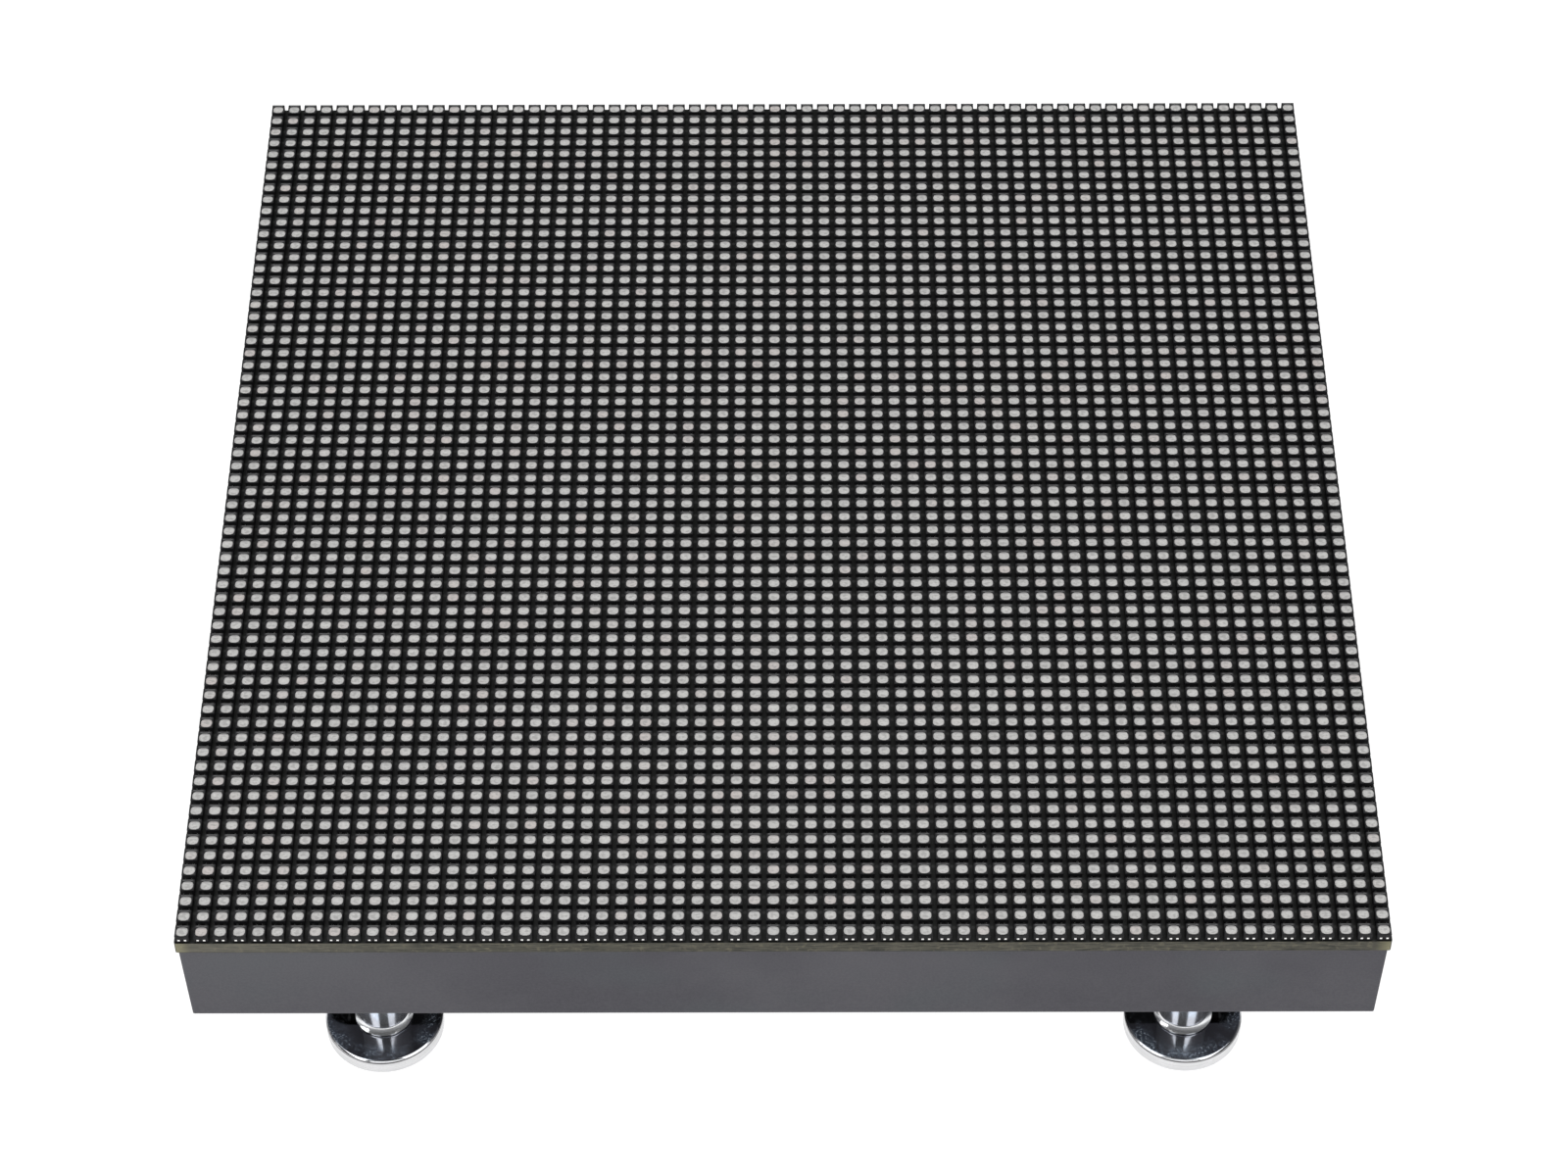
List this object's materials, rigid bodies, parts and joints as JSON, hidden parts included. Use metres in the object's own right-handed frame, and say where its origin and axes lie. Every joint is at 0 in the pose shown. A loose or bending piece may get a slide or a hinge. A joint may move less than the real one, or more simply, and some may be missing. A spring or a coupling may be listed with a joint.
{
  "type": "rgb led matrix panel",
  "caption": "Square RGB LED matrix panel: a dense grid of surface-mount LEDs on a circuit board, a shallow moulded rear shell with windows for its connectors, and magnetic feet.",
  "frame": {"origin": "on the ground that the feet stand on, under the middle of the panel", "axes": "+Z out of the lit face, which faces up; +X to the right and +Y to the back in the picture's view"},
  "size_m": [0.1278, 0.1278, 0.0274],
  "materials": {
    "led_package": "black epoxy moulding, slightly rough",
    "led_lens": "milky clear epoxy",
    "circuit_board": "black solder mask, olive laminate at the cut edge",
    "grey_moulding": "fine matte texture",
    "nickel_plate": "bright plating",
    "plated_steel": "bright turned surface",
    "brass": "turned",
    "tinned_metal": "dull tin",
    "black_moulding": "moulded",
    "white_nylon": "moulded",
    "aluminium_can": "satin"
  },
  "bodies": {
    "root": {"led_rows": "led_package", "led_board": "circuit_board", "rear_shell": "grey_moulding", "foot_magnet_front_left": "nickel_plate", "foot_magnet_front_right": "nickel_plate", "foot_magnet_back_left": "nickel_plate", "foot_magnet_back_right": "nickel_plate", "foot_post_front_left": "plated_steel", "foot_post_front_right": "plated_steel", "foot_post_back_left": "plated_steel", "foot_post_back_right": "plated_steel", "shell_insert_front_left": "brass", "shell_insert_front_right": "brass", "shell_insert_back_left": "brass", "shell_insert_back_right": "brass", "shell_screw_front_left": "plated_steel", "shell_screw_front_right": "plated_steel", "shell_screw_back_left": "plated_steel", "shell_screw_back_right": "plated_steel", "shell_screw_left": "plated_steel", "shell_screw_right": "plated_steel", "board_nut_front_left": "tinned_metal", "board_nut_front_right": "tinned_metal", "board_nut_back_left": "tinned_metal", "board_nut_back_right": "tinned_metal", "board_nut_left": "tinned_metal", "board_nut_right": "tinned_metal", "data_in_header": "black_moulding", "data_out_header": "black_moulding", "power_header": "white_nylon", "capacitor_front_left": "aluminium_can", "capacitor_front_right": "aluminium_can", "capacitor_back_left": "aluminium_can", "capacitor_back_right": "aluminium_can", "driver_chip_01": "black_moulding", "driver_chip_02": "black_moulding", "driver_chip_03": "black_moulding", "driver_chip_04": "black_moulding", "driver_chip_05": "black_moulding", "driver_chip_06": "black_moulding", "driver_chip_07": "black_moulding", "driver_chip_08": "black_moulding", "driver_chip_09": "black_moulding", "driver_chip_10": "black_moulding", "driver_chip_11": "black_moulding", "driver_chip_12": "black_moulding", "driver_chip_13": "black_moulding", "driver_chip_14": "black_moulding", "driver_chip_15": "black_moulding", "driver_chip_16": "black_moulding", "driver_chip_17": "black_moulding", "driver_chip_18": "black_moulding", "driver_chip_19": "black_moulding", "driver_chip_20": "black_moulding", "driver_chip_21": "black_moulding", "driver_chip_22": "black_moulding", "driver_chip_23": "black_moulding", "driver_chip_24": "black_moulding", "buffer_chip_front": "black_moulding", "buffer_chip_back": "black_moulding"}
  },
  "joints": []
}
